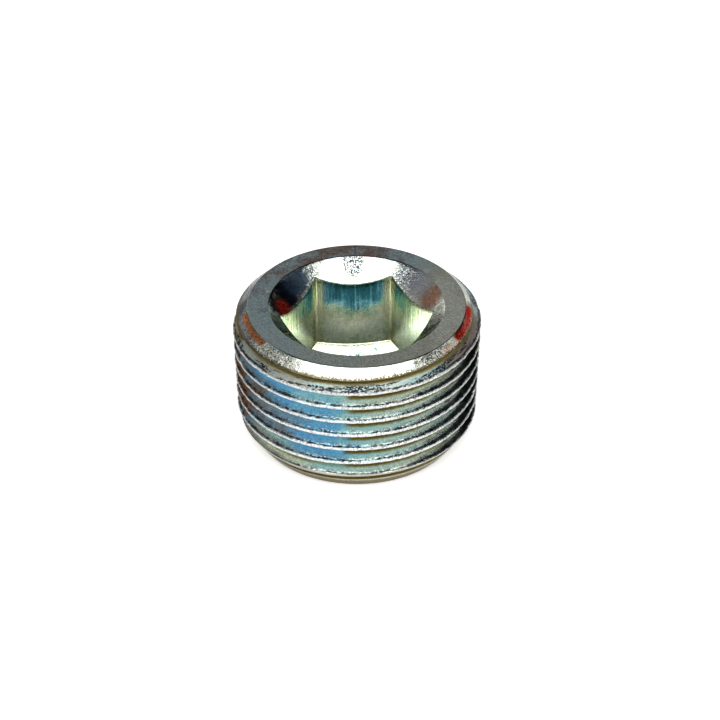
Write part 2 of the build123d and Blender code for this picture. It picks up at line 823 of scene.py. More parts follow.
class Workbench:
    """Adds and joins the nodes of one material or world."""

    def __init__(self, tree: bpy.types.NodeTree) -> None:
        """Clears the tree and starts on it."""
        self.tree = tree
        tree.nodes.clear()

    def add(self, kind: str, **inputs: object) -> bpy.types.Node:
        """Adds a node and sets or links its inputs.

        Args:
            kind: The node's type.
            inputs: Values or signals, by input name with underscores for spaces.

        Returns:
            The new node.
        """
        node = self.tree.nodes.new(kind)
        for name, value in inputs.items():
            self.feed(node.inputs[name.replace("_", " ")], value)
        return node

    def read(self, kind: str, output: str, **inputs: object) -> Signal:
        """Adds a node, and gives what comes out of one of its outputs."""
        return Signal(self, self.add(kind, **inputs).outputs[output])

    def feed(self, socket: bpy.types.NodeSocket, value: object) -> None:
        """Links a signal to an input, or sets the input's value.

        Args:
            socket: The input.
            value: A signal, or a plain number, place or colour.
        """
        if isinstance(value, Signal):
            self.tree.links.new(value.socket, socket)
        elif isinstance(value, tuple) and len(value) == 3 and len(socket.default_value) == 4:
            socket.default_value = (*value, 1.0)
        else:
            socket.default_value = value

    def show(self, shader: bpy.types.Node, kind: str = "ShaderNodeOutputMaterial") -> None:
        """Ends the tree with a shader that covers the surface, or the world."""
        self.tree.links.new(shader.outputs[0], self.add(kind).inputs["Surface"])

    def sum(self, step: MathStep, first: object, second: object) -> Signal:
        """The result of one sum of numbers.

        Args:
            step: Which sum it is.
            first: The first number.
            second: The second number, which some sums leave out.

        Returns:
            The result.
        """
        node = self.add("ShaderNodeMath")
        node.operation = step.value
        self.feed(node.inputs[0], first)
        self.feed(node.inputs[1], second)
        return Signal(self, node.outputs[0])

    def mix(self, share: Signal, first: Signal | Colour, second: Signal | Colour) -> Signal:
        """A blend of two colours, from the first at a share of 0 to the second at 1.

        Args:
            share: How much of the second colour there is.
            first: The first colour.
            second: The second colour.

        Returns:
            The blend.
        """
        node = self.add("ShaderNodeMix")
        node.data_type = "RGBA"
        share_input, first_colour, second_colour, blend = 0, 6, 7, 2
        self.feed(node.inputs[share_input], share)
        self.feed(node.inputs[first_colour], first)
        self.feed(node.inputs[second_colour], second)
        return Signal(self, node.outputs[blend])

    def vector(self, step: VectorStep, first: Signal, second: object = (0.0, 0.0, 0.0)) -> Signal:
        """The result of one sum of places or colours.

        Args:
            step: Which sum it is.
            first: The first place or colour.
            second: The second one, or the number that scales the first.

        Returns:
            The result.
        """
        node = self.add("ShaderNodeVectorMath")
        node.operation = step.value
        self.feed(node.inputs[0], first)
        self.feed(node.inputs["Scale" if step is VectorStep.SCALE else 1], second)
        gives_vector = step in (VectorStep.ADD, VectorStep.SCALE)
        return Signal(self, node.outputs["Vector" if gives_vector else "Value"])


class Skin(Workbench):
    """The workbench of a finish. It knows where a point lies, in millimetres and degrees."""

    def __init__(self, tree: bpy.types.NodeTree) -> None:
        """Works out where a point lies, with the azimuth counted from the front.

        Args:
            tree: The nodes of the finish.
        """
        super().__init__(tree)
        place = self.read("ShaderNodeTexCoord", "Object")
        self.place = self.stretched((1 / MILLIMETRE,) * 3, place)
        axes = self.add("ShaderNodeSeparateXYZ", Vector=self.place).outputs
        self.right, self.back, self.height = (Signal(self, axis) for axis in axes)
        squares = self.right * self.right + self.back * self.back
        self.radius = self.sum(MathStep.ROOT, squares, 0.0)
        self.azimuth = self.sum(MathStep.ANGLE, self.right, self.back * -1.0) * math.degrees(1)
        crest = self.add("ShaderNodeAttribute")
        crest.attribute_name = "crest"
        self.crest = Signal(self, crest.outputs["Fac"])

    def stretched(self, scale: Colour, place: Signal | None = None) -> Signal:
        """A place on the skin, stretched by a scale along each axis."""
        return self.read("ShaderNodeMapping", "Vector", Vector=place or self.place, Scale=scale)

    def grain(
        self, scale: float, detail: float = 2.0, rough: float = 0.5, place: Signal | None = None
    ) -> Signal:
        """Noise over a place on the skin, about 0.5 on average.

        Args:
            scale: Waves in a millimetre.
            detail: How many finer layers are added.
            rough: How strong the finer layers are.
            place: A stretched place, or none for the point itself.

        Returns:
            The noise.
        """
        return self.read(
            "ShaderNodeTexNoise",
            "Fac",
            Vector=place or self.place,
            Scale=scale,
            Detail=detail,
            Roughness=rough,
        )

    def wander(
        self,
        reach: float,
        scale: float,
        detail: float = 2.0,
        rough: float = 0.5,
        place: Signal | None = None,
    ) -> Signal:
        """Noise that swings about 0, by half a reach at the most."""
        return (self.grain(scale, detail, rough, place) - 0.5) * reach


@dataclass(frozen=True)
class ColourPatch:
    """A place where the colour changes: mostly a stain in the passivated film, in a few places
    painted shade.
    """

    centre: Colour
    radius: float
    colour: Colour
    strength: float
    broken: bool = False


def streak(start: int, end: int, side_patch: ColourPatch) -> tuple[ColourPatch, ...]:
    """Copies of one patch in a row round the plug.

    Args:
        start: Azimuth of the first copy, in degrees from the front.
        end: Azimuth at which the row stops.
        side_patch: The patch, as it would lie at an azimuth of 90 degrees.

    Returns:
        The patches, a few degrees apart.
    """
    step = 4
    reach, _, height = side_patch.centre
    angles = [math.radians(angle) for angle in range(start, end, step)]
    return tuple(
        replace(side_patch, centre=(reach * math.sin(angle), -reach * math.cos(angle), height))
        for angle in angles
    )


@dataclass(frozen=True)
class Plating(ABC):
    """Satin zinc plate on steel under a thin passivated film that shows faint colours.

    The film's thickness runs from 0 to 1 and is read as a colour from its stops.
    Azimuths are in degrees from the front, and heights, radii and depths in millimetres.
    """

    name: str
    film: tuple[Stop, ...]
    roughness: float = 0.17
    edge_tint: Colour = (1.0, 1.0, 1.0)
    grain_scale: float = 8.5
    grain_depth: float = 0.020
    mottle: float = 0.25
    pale_share: float = 0.6
    speck_scale: float = 3.6
    face_height: float = 15.7
    mottle_grain: Grain = (6.0, 3.0, 0.8)
    mottle_band: Band = (0.32, 0.68)
    ragged_grain: Grain = (2.4, 4.0, 0.75)
    speck_band: Band = (0.46, 0.52)
    off_face: Band = (15.66, 15.73, 1.0, 0.0)
    gloss_grain: Grain = (2.2, 3.0, 0.5)
    gloss_band: Band = (0.3, 0.7)
    gloss_range: Point = (0.8, 1.35)
    coarse_grain: Grain = (0.9, 3.0, 0.6)
    coarse_band: Band = (0.38, 0.62)
    finest_share: float = 0.4
    patch_rag: float = 1.2
    patch_edge: Point = (1.1, 1.8)
    patches: tuple[ColourPatch, ...] = ()

    def material(self) -> bpy.types.Material:
        """Builds the finish.

        Returns:
            The material, read from object coordinates and the mesh's own attributes.
        """
        material = bpy.data.materials.new(self.name)
        material.use_nodes = True
        skin = Skin(material.node_tree)
        tone = self.speckled(skin, self.patched(skin, self.thickness(skin).ramp(self.film)))
        shade = skin.add(
            "ShaderNodeBsdfPrincipled",
            Base_Color=self.worn(skin, tone),
            Metallic=1.0,
            Specular_Tint=self.edge_tint,
            Roughness=self.gloss(skin),
            Normal=self.relief(skin),
        )
        skin.show(shade)
        return material

    @abstractmethod
    def thickness(self, skin: Skin) -> Signal:
        """Thickness of the film."""

    @abstractmethod
    def worn(self, skin: Skin, tone: Signal) -> Signal:
        """The colour with its worn and stained places."""

    @abstractmethod
    def tool_marks(self, skin: Skin) -> Signal:
        """Marks of the cut, in millimetres of height."""

    def speckled(self, skin: Skin, tone: Signal) -> Signal:
        """The film's colour with a fine darker and paler grain.

        Args:
            skin: The finish's workbench.
            tone: The colour so far.

        Returns:
            The grained colour.
        """
        darkest, palest = 1.0 - self.mottle, 1.0 + self.mottle * self.pale_share
        level = skin.grain(*self.mottle_grain).spread(*self.mottle_band, darkest, palest)
        return skin.vector(VectorStep.SCALE, tone, level)

    def patched(self, skin: Skin, tone: Signal) -> Signal:
        """The film's colour with its patches, which end at the rims of the face: most are stains,
        a few are painted shade.

        Args:
            skin: The finish's workbench.
            tone: The colour so far.

        Returns:
            The stained colour.
        """
        ragged = skin.grain(*self.ragged_grain)
        specks = skin.grain(self.speck_scale, detail=3.0, rough=0.7).spread(*self.speck_band)
        off_face = skin.height.spread(*self.off_face)
        for patch in self.patches:
            apart = skin.vector(VectorStep.DISTANCE, skin.place, patch.centre)
            edge = apart + ragged * (patch.radius * self.patch_rag)
            inner, outer = (patch.radius * share for share in self.patch_edge)
            mask = edge.spread(inner, outer, patch.strength, 0.0)
            if patch.centre[2] < self.face_height:
                mask = mask * off_face
            if patch.broken:
                mask = mask * specks
            tone = skin.mix(mask, tone, patch.colour)
        return tone

    def gloss(self, skin: Skin) -> Signal:
        """Roughness that wanders a little over the surface."""
        low, high = (self.roughness * share for share in self.gloss_range)
        return skin.grain(*self.gloss_grain).spread(*self.gloss_band, low, high)

    def relief(self, skin: Skin) -> Signal:
        """The fine grain of the plate, with the marks of the cut under it.

        Args:
            skin: The finish's workbench.

        Returns:
            The normal that the grain and the marks give.
        """
        grain = skin.grain(self.grain_scale, detail=2.0, rough=0.6)
        finest = self.grain_depth * self.finest_share
        coarse = skin.grain(*self.coarse_grain).spread(*self.coarse_band, finest, self.grain_depth)
        height = grain * (coarse * self.coarseness(skin)) + self.tool_marks(skin)
        return skin.read(
            "ShaderNodeBump", "Normal", Height=height, Strength=1.0, Distance=MILLIMETRE
        )

    def coarseness(self, skin: Skin) -> Signal | float:
        """How coarse the grain is at a point, which is the same all over a plain face."""
        return 1.0


@dataclass(frozen=True)
class ThreadPlating(Plating):
    """Plating on the thread: coloured flanks, painted olive shade in the roots, painted dark shade
    along the laps, rubbed crests.
    """

    name: str = "plated_thread"
    film: tuple[Stop, ...] = (
        (0.00, (0.72, 0.70, 0.58)),
        (0.16, (0.50, 0.47, 0.30)),
        (0.32, (0.56, 0.60, 0.50)),
        (0.48, (0.58, 0.68, 0.62)),
        (0.62, (0.42, 0.63, 0.64)),
        (0.76, (0.24, 0.49, 0.68)),
        (0.87, (0.34, 0.43, 0.47)),
        (0.97, (0.34, 0.17, 0.07)),
    )
    round_the_plug: tuple[Point, ...] = (
        (-180.0, 0.62),
        (-110.0, 0.88),
        (-82.0, 1.00),
        (-69.0, 1.00),
        (-61.0, 0.88),
        (-44.0, 0.88),
        (-30.0, 0.79),
        (-10.0, 0.74),
        (1.0, 0.60),
        (30.0, 0.50),
        (60.0, 0.46),
        (110.0, 0.55),
        (180.0, 0.62),
    )
    low_band: Band = (2.0, 4.4, 1.0, 0.0)
    low_thickness: float = 0.36
    high_band: Band = (13.3, 13.6)
    high_thickness: float = 0.52
    mottle_reach: float = 0.46
    fine_reach: float = 0.34
    fine_grain: Grain = (3.0, 3.0, 0.75)
    film_wander: Point = (30.0, 0.5)
    root_wander: Point = (16.0, 0.6)
    root_rag: Point = (2.0, 0.20)
    crest_rag: Point = (5.0, 0.60)
    uneven_crest: Point = (0.16, 1.4)
    lap_rag: Point = (5.0, 0.50)
    lap_reach: float = 0.30
    rubbed_from: Point = (0.86, 0.95)
    lapped_from: Point = (0.70, 0.80)
    lapped_to: Point = (0.90, 0.94)
    bump_from: Point = (0.78, 0.96)
    crest_bump: float = 0.05
    groove_bump: float = 0.035
    crest_roughness: float = 0.12
    torn_roughness: float = 0.28
    draw_scale: float = 5.0
    draw_depth: float = 0.010
    upper_thinning: Band = (8.5, 12.8, 0.0, 0.13)
    long_grain: Grain = (1.0, 3.0, 0.6)
    front_rise: Band = (15.0, 50.0, 0.0, 2.2)
    side_fall: Band = (55.0, 72.0, 1.0, 0.2)
    groove_climb: float = 0.36286
    fleck_grain: Grain = (6.5, 2.0, 0.8)
    fleck_band: Band = (0.57, 0.62)
    flecks_by_crest: Band = (0.45, 0.80, 0.15, 1.0)
    flecks_aside: Band = (30.0, 60.0, 1.0, 0.25)
    crest_narrowing: Band = (25.0, 65.0, 0.0, 0.065)
    side_band: Band = (35.0, 70.0)
    dirt_grain: Grain = (5.5, 2.0, 0.7)
    dirt_band: Band = (0.50, 0.60)
    root_band: Band = (0.22, 0.46, 1.0, 0.0)
    root_shade_start: Band = (-9.0, -2.0)
    root_shade_end: Band = (80.0, 130.0, 1.0, 0.0)
    # Painted shade widens over the flanks on the right.
    shade_widening: Band = (12.0, 74.0, 0.0, 0.24)
    lap_narrowing: Band = (85.0, 120.0, 1.0, 0.0)
    break_grain: Grain = (1.6, 3.0, 0.6)
    break_band: Band = (0.40, 0.52)
    whole_lap: Band = (14.0, 34.0, 0.0, 0.85)
    torn_grain: Grain = (6.0, 3.0, 0.7)
    streak_grain: Grain = (1.0, 2.0, 0.6)
    streak_band: Band = (0.52, 0.57)
    streak_rows: Band = (0.20, 0.45)
    lap_speck_grain: Grain = (4.5, 3.0, 0.7)
    lap_speck_band: Band = (0.41, 0.49)
    bare: Colour = (0.86, 0.86, 0.85)
    side_bare: Colour = (0.62, 0.56, 0.54)
    dirt: Colour = (0.34, 0.38, 0.37)
    # Near-black: painted shade along the laps, and the dark streaks in the torn groove.
    painted_lap_shade_and_streak: Colour = (0.018, 0.024, 0.034)
    # Painted shade: a dark olive in the roots.
    painted_root_shade: Colour = (0.27, 0.22, 0.075)
    patches: tuple[ColourPatch, ...] = (
        *streak(50, 90, ColourPatch((12.7, 0, 14.3), 1.1, (0.34, 0.27, 0.24), 0.75)),
        *streak(-74, -22, ColourPatch((12.8, 0, 14.05), 1.0, (0.43, 0.43, 0.37), 0.65)),
        *streak(-98, -74, ColourPatch((12.8, 0, 13.7), 1.3, (0.34, 0.25, 0.10), 0.75)),
    )

    def thickness(self, skin: Skin) -> Signal:
        """Thickness that changes round the plug, and evens out high up and low down.

        Args:
            skin: The finish's workbench.

        Returns:
            The thickness, from 0 to 1.
        """
        mottle = skin.wander(self.mottle_reach, *self.long_grain, self.along(skin, 0.9))
        fine = skin.wander(self.fine_reach, *self.fine_grain)
        azimuth = skin.azimuth + skin.wander(*self.film_wander)
        film = azimuth.curve(-HALF_TURN, HALF_TURN, self.round_the_plug)
        film = film - skin.height.spread(*self.upper_thinning)
        film = self.drawn_to(film, self.low_thickness, self.low(skin))
        film = self.drawn_to(film, self.high_thickness, self.high(skin))
        return film + (mottle + fine)

    @staticmethod
    def drawn_to(film: Signal, target: float, share: Signal) -> Signal:
        """A thickness drawn towards a target by a share."""
        return film + (target - film) * share

    def low(self, skin: Skin) -> Signal:
        """The share of the lowest threads, which reach higher up at the front.

        Args:
            skin: The finish's workbench.

        Returns:
            The share, from 0 to 1.
        """
        aside = abs(skin.azimuth)
        drop = aside.spread(*self.front_rise) * aside.spread(*self.side_fall)
        return (skin.height - drop).spread(*self.low_band)

    def high(self, skin: Skin) -> Signal:
        """The share of the torn groove over the first crest, which climbs with the thread."""
        rise = skin.height - skin.azimuth.sine() * self.groove_climb
        return rise.spread(*self.high_band)

    def along(self, skin: Skin, scale: float, drawn_out: float = 0.4) -> Signal:
        """A place in which patterns are drawn out along the thread.

        Args:
            skin: The finish's workbench.
            scale: How fine the pattern is.
            drawn_out: The fineness along the thread, as a share.

        Returns:
            The place.
        """
        across, along = scale * 2.5, scale * drawn_out
        inwards = skin.read("ShaderNodeCombineXYZ", "Vector", Z=skin.radius * across)
        return skin.vector(VectorStep.ADD, skin.stretched((along, along, across)), inwards)

    def ragged(self, skin: Skin, scale: float, reach: float) -> Signal:
        """The share of the crest, with its lines made ragged."""
        return skin.crest + skin.wander(reach, scale, detail=3.0, rough=0.7)

    def worn(self, skin: Skin, tone: Signal) -> Signal:
        """The film, with painted shade in roots and laps, specked flanks and rubbed-off crests.

        Args:
            skin: The finish's workbench.
            tone: The colour so far.

        Returns:
            The worn colour.
        """
        aside = abs(skin.azimuth)
        # Painted shade: dark olive in the roots, on the right and at both ends.
        tone = skin.mix(self.root_shade_share(skin), tone, self.painted_root_shade)
        flecks = skin.grain(*self.fleck_grain).spread(*self.fleck_band)
        near = skin.crest.spread(*self.flecks_by_crest) * aside.spread(*self.flecks_aside)
        tone = skin.mix(flecks * near, tone, self.bare)
        # Painted shade: near-black along the laps, wider on the right, with dark streaks in the
        # torn groove.
        tone = skin.mix(self.lap_shade_and_streak_share(skin), tone, self.painted_lap_shade_and_streak)
        narrow = aside.spread(*self.crest_narrowing)
        share = self.ragged(skin, *self.crest_rag) + skin.wander(*self.uneven_crest)
        rubbed = (share - narrow).spread(*self.rubbed_from)
        bare = skin.mix(aside.spread(*self.side_band), self.bare, self.side_bare)
        dirty = skin.mix(skin.grain(*self.dirt_grain).spread(*self.dirt_band), bare, self.dirt)
        return skin.mix(rubbed, tone, dirty)

    def root_shade_share(self, skin: Skin) -> Signal:
        """The share of painted shade in the roots, on the right and at both ends.

        Args:
            skin: The finish's workbench.

        Returns:
            The share, from 0 to 1.
        """
        in_root = self.ragged(skin, *self.root_rag).spread(*self.root_band)
        azimuth = skin.azimuth + skin.wander(*self.root_wander)
        right = azimuth.spread(*self.root_shade_start) * azimuth.spread(*self.root_shade_end)
        return in_root * right.larger(self.low(skin).larger(self.high(skin)))

    def lap_shade_and_streak_share(self, skin: Skin) -> Signal:
        """The share of painted shade along the lap under the burr, wider on the right, and of dark
        streaks.

        Args:
            skin: The finish's workbench.

        Returns:
            The share, from 0 to 1.
        """
        groove = self.high(skin)
        share = self.ragged(skin, *self.lap_rag)
        share = share + skin.wander(self.lap_reach, *self.long_grain, self.along(skin, 1.0))
        wide = skin.azimuth.spread(*self.shade_widening)
        wide = wide * skin.azimuth.spread(*self.lap_narrowing) * (1.0 - groove)
        broken = skin.grain(*self.break_grain).spread(*self.break_band)
        whole = skin.azimuth.spread(*self.whole_lap)
        lap = (share + wide).spread(*self.lapped_from) * broken.larger(whole)
        lap = lap * share.spread(*self.lapped_to, 1.0, 0.0)
        streaks = skin.grain(*self.streak_grain, self.along(skin, 2.6, 0.10))
        streaks = streaks.spread(*self.streak_band) * groove * skin.crest.spread(*self.streak_rows)
        specks = skin.grain(*self.lap_speck_grain).spread(*self.lap_speck_band)
        return lap.larger(streaks * specks)

    def gloss(self, skin: Skin) -> Signal:
        """Satin flanks, with the crests and the first groove rougher."""
        rubbed = skin.crest.spread(*self.rubbed_from, 0.0, self.crest_roughness)
        return super().gloss(skin) + (rubbed + self.high(skin) * self.torn_roughness)

    def tool_marks(self, skin: Skin) -> Signal:
        """Fine lines drawn along the flanks, and torn metal on the crests.

        Args:
            skin: The finish's workbench.

        Returns:
            The height, in millimetres.
        """
        drawn = skin.grain(*self.long_grain, self.along(skin, self.draw_scale))
        near = skin.crest.spread(*self.bump_from, 0.0, self.crest_bump)
        near = near + self.high(skin) * self.groove_bump
        return skin.grain(*self.torn_grain) * near + drawn * self.draw_depth


@dataclass(frozen=True)
class TurnedPlating(Plating):
    """Plating on the turned faces and chamfers, with stains of thicker film and patches of painted
    shade.
    """

    name: str = "plated_turning"
    film: tuple[Stop, ...] = (
        (0.00, (0.84, 0.86, 0.78)),
        (0.25, (0.64, 0.67, 0.56)),
        (0.50, (0.58, 0.66, 0.62)),
        (0.75, (0.52, 0.70, 0.74)),
        (0.90, (0.41, 0.41, 0.42)),
        (1.00, (0.33, 0.25, 0.21)),
    )
    round_the_plug: tuple[Point, ...] = (
        (-180.0, 0.97),
        (-140.0, 0.92),
        (-110.0, 0.80),
        (-60.0, 0.70),
        (-20.0, 0.48),
        (20.0, 0.32),
        (60.0, 0.05),
        (110.0, 0.05),
        (150.0, 0.86),
        (180.0, 1.00),
    )
    chamfer_thickness: float = 0.15
    roughness: float = 0.14
    edge_tint: Colour = (0.52, 0.52, 0.52)
    grain_depth: float = 0.045
    mottle: float = 0.32
    speck_scale: float = 4.6
    chamfer_rim: Band = (11.7, 11.8)
    foot_band: Band = (14.87, 14.95, 1.0, 0.0)
    foot_reach: float = -1.1
    foot_grain: Grain = (5.5, 3.0, 0.75)
    foot_climb: float = 0.163287
    # Painted shade along the chamfer's foot.
    chamfer_foot_shade: Colour = (0.11, 0.10, 0.06)
    # Painted contact shade towards the small end.
    small_end_shade: Colour = (0.27, 0.22, 0.12)
    # Near-black: painted shade specks beside the lamp's highlight on the chamfer, and the real
    # scratch on the face.
    speck_shade_and_scratch: Colour = (0.05, 0.05, 0.045)
    fine_reach: float = 0.80
    fine_grain: Grain = (2.6, 4.0, 0.8)
    cloud_reach: float = 0.70
    cloud_grain: Grain = (0.6, 4.0, 0.6)
    face_band: Band = (15.5, 15.7)
    fleck_grain: Grain = (7.5, 2.0, 0.8)
    fleck_band: Band = (0.50, 0.56, 0.0, 0.42)
    speck_shade_grain: Grain = (6.5, 2.0, 0.8)
    speck_shade_band: Band = (0.50, 0.55, 0.0, 0.85)
    rim_reach: float = 0.9
    rim_grain: Grain = (4.0, 3.0, 0.7)
    rim_band: Band = (1.35, 1.75, 1.0, 0.0)
    chamfer_foot: Band = (12.0, 12.2)
    lamp_edge: Band = (22.0, 38.0)
    right_fade: Band = (22.0, 42.0, 1.0, 0.0)
    cone_band: Band = (15.4, 15.7, 1.0, 0.25)
    scratch_height: Band = (15.5, 15.6)
    scratch_start: Band = (9.7, 10.1)
    scratch_place: float = -0.2
    scratch_line: Band = (0.035, 0.07, 0.8, 0.0)
    ring_grain: Grain = (9.0, 2.0, 0.5)
    ring_depth: float = 0.004
    patches: tuple[ColourPatch, ...] = (
        *streak(88, 96, ColourPatch((12.2, 0, 15.1), 0.9, (0.20, 0.18, 0.17), 0.7)),
        # Painted shade: black specks on the right chamfer where the lamp's highlight breaks up.
        *streak(32, 56, ColourPatch((11.9, 0, 15.4), 0.60, (0.02, 0.02, 0.02), 0.8, True)),
        *streak(50, 90, ColourPatch((12.4, 0, 14.9), 0.80, (0.85, 0.55, 0.42), 0.9, True)),
        *streak(63, 91, ColourPatch((11.9, 0, 15.4), 0.75, (0.34, 0.012, 0.003), 1.0)),
        *streak(-104, -62, ColourPatch((12.2, 0, 15.1), 1.1, (0.22, 0.24, 0.26), 0.6)),
        *streak(-81, -56, ColourPatch((11.9, 0, 15.4), 0.60, (0.46, 0.15, 0.04), 0.95)),
        ColourPatch((-8.4, -3.0, 15.2), 2.9, (0.12, 0.26, 0.17), 0.75),
        ColourPatch((-7.6, 3.5, 14.7), 2.6, (0.006, 0.008, 0.013), 1.0),
        ColourPatch((-6.6, 5.6, 14.9), 2.0, (0.020, 0.040, 0.065), 0.95),
        ColourPatch((-5.6, 6.9, 15.1), 1.6, (0.05, 0.09, 0.14), 0.95, True),
        ColourPatch((-8.4, 0.9, 14.9), 1.9, (0.010, 0.014, 0.014), 1.0),
        ColourPatch((-7.75, 1.25, 14.3), 1.15, (0.14, 0.010, 0.008), 0.9),
        ColourPatch((-7.8, 1.2, 14.35), 1.30, (0.46, 0.025, 0.012), 0.95, True),
        ColourPatch((8.0, 2.8, 14.9), 1.9, (0.48, 0.24, 0.15), 0.9),
        ColourPatch((5.6, 6.7, 15.1), 2.0, (0.10, 0.14, 0.22), 0.9, True),
        ColourPatch((7.0, 5.2, 15.0), 1.9, (0.38, 0.39, 0.46), 0.7),
        ColourPatch((8.2, -2.6, 15.0), 3.2, (0.88, 0.90, 0.80), 0.4),
        ColourPatch((-0.4, 8.95, 15.2), 1.55, (0.015, 0.035, 0.05), 1.0, True),
        ColourPatch((-0.3, 8.4, 14.7), 1.10, (0.015, 0.035, 0.05), 1.0, True),
        ColourPatch((-13.0, 0.6, 14.6), 2.2, (0.06, 0.06, 0.06), 0.9),
        ColourPatch((-12.2, 3.3, 14.9), 2.1, (0.36, 0.42, 0.44), 0.9),
        ColourPatch((-9.65, 2.5, 15.75), 0.26, (0.95, 0.84, 0.84), 0.9),
        ColourPatch((7.6, 6.6, 15.75), 0.55, (0.85, 0.90, 0.96), 0.8, True),
    )

    def thickness(self, skin: Skin) -> Signal:
        """Thickness that changes round the face, and is less on the two cones.

        Args:
            skin: The finish's workbench.

        Returns:
            The thickness, from 0 to 1.
        """
        round_film = skin.azimuth.curve(-HALF_TURN, HALF_TURN, self.round_the_plug)
        on_face = skin.height.spread(*self.face_band)
        film = (round_film - self.chamfer_thickness) * on_face + self.chamfer_thickness
        film = film + skin.wander(self.fine_reach, *self.fine_grain)
        return film + skin.wander(self.cloud_reach, *self.cloud_grain)

    def worn(self, skin: Skin, tone: Signal) -> Signal:
        """The film, with painted shade specks on the chamfer, and painted shade at its foot and
        towards the small end.

        Args:
            skin: The finish's workbench.
            tone: The colour so far.

        Returns:
            The worn colour.
        """
        chamfer = self.on_chamfer(skin)
        # Painted shade: near-black specks on the chamfer where the lamp's highlight breaks up.
        shade_specks = skin.grain(*self.speck_shade_grain).spread(*self.speck_shade_band)
        tone = skin.mix(shade_specks * self.beside_lamp(skin) * chamfer, tone, self.speck_shade_and_scratch)
        # Painted shade: a dark olive band along the chamfer's foot.
        tone = skin.mix(self.foot(skin) * chamfer, tone, self.chamfer_foot_shade)
        # Painted contact shade: darker brown towards the small end.
        low = skin.height + skin.grain(*self.rim_grain) * self.rim_reach
        tone = skin.mix(low.spread(*self.rim_band), tone, self.small_end_shade)
        return skin.mix(self.scratch(skin), tone, self.speck_shade_and_scratch)

    def on_chamfer(self, skin: Skin) -> Signal:
        """The share of the upper chamfer."""
        outside = skin.radius.spread(*self.chamfer_rim)
        return outside * skin.height.spread(*self.chamfer_foot)

    def beside_lamp(self, skin: Skin) -> Signal:
        """The share of the coarse stretch on the left, with a little on the right."""
        return abs(skin.azimuth).spread(*self.lamp_edge) * skin.azimuth.spread(*self.right_fade)

    def foot(self, skin: Skin) -> Signal:
        """The share of painted shade along the torn edge where the thread breaks into the chamfer.

        Args:
            skin: The finish's workbench.

        Returns:
            The share, from 0 to 1.
        """
        rise = skin.height - skin.azimuth.sine() * self.foot_climb
        rise = rise + skin.wander(self.foot_reach, *self.foot_grain)
        return rise.spread(*self.foot_band)

    def scratch(self, skin: Skin) -> Signal:
        """The share of one fine scratch across the back of the face.

        Args:
            skin: The finish's workbench.

        Returns:
            The share, from 0 to 1.
        """
        aside = abs(skin.right - self.scratch_place)
        line = aside.spread(*self.scratch_line)
        line = line * skin.height.spread(*self.scratch_height)
        return line * skin.back.spread(*self.scratch_start)

    def gloss(self, skin: Skin) -> Signal:
        """Satin, with dull flecks on the coarse stretch of the chamfer.

        Args:
            skin: The finish's workbench.

        Returns:
            The roughness.
        """
        flecks = skin.grain(*self.fleck_grain).spread(*self.fleck_band)
        flecks = flecks * self.on_chamfer(skin) * self.beside_lamp(skin)
        return super().gloss(skin) + flecks

    def coarseness(self, skin: Skin) -> Signal:
        """A coarse grain on the cones, and a fine one on the flat face."""
        return skin.height.spread(*self.cone_band)

    def tool_marks(self, skin: Skin) -> Signal:
        """Fine rings left by turning."""
        half_section = skin.read("ShaderNodeCombineXYZ", "Vector", X=skin.radius, Z=skin.height)
        return skin.grain(*self.ring_grain, half_section) * self.ring_depth


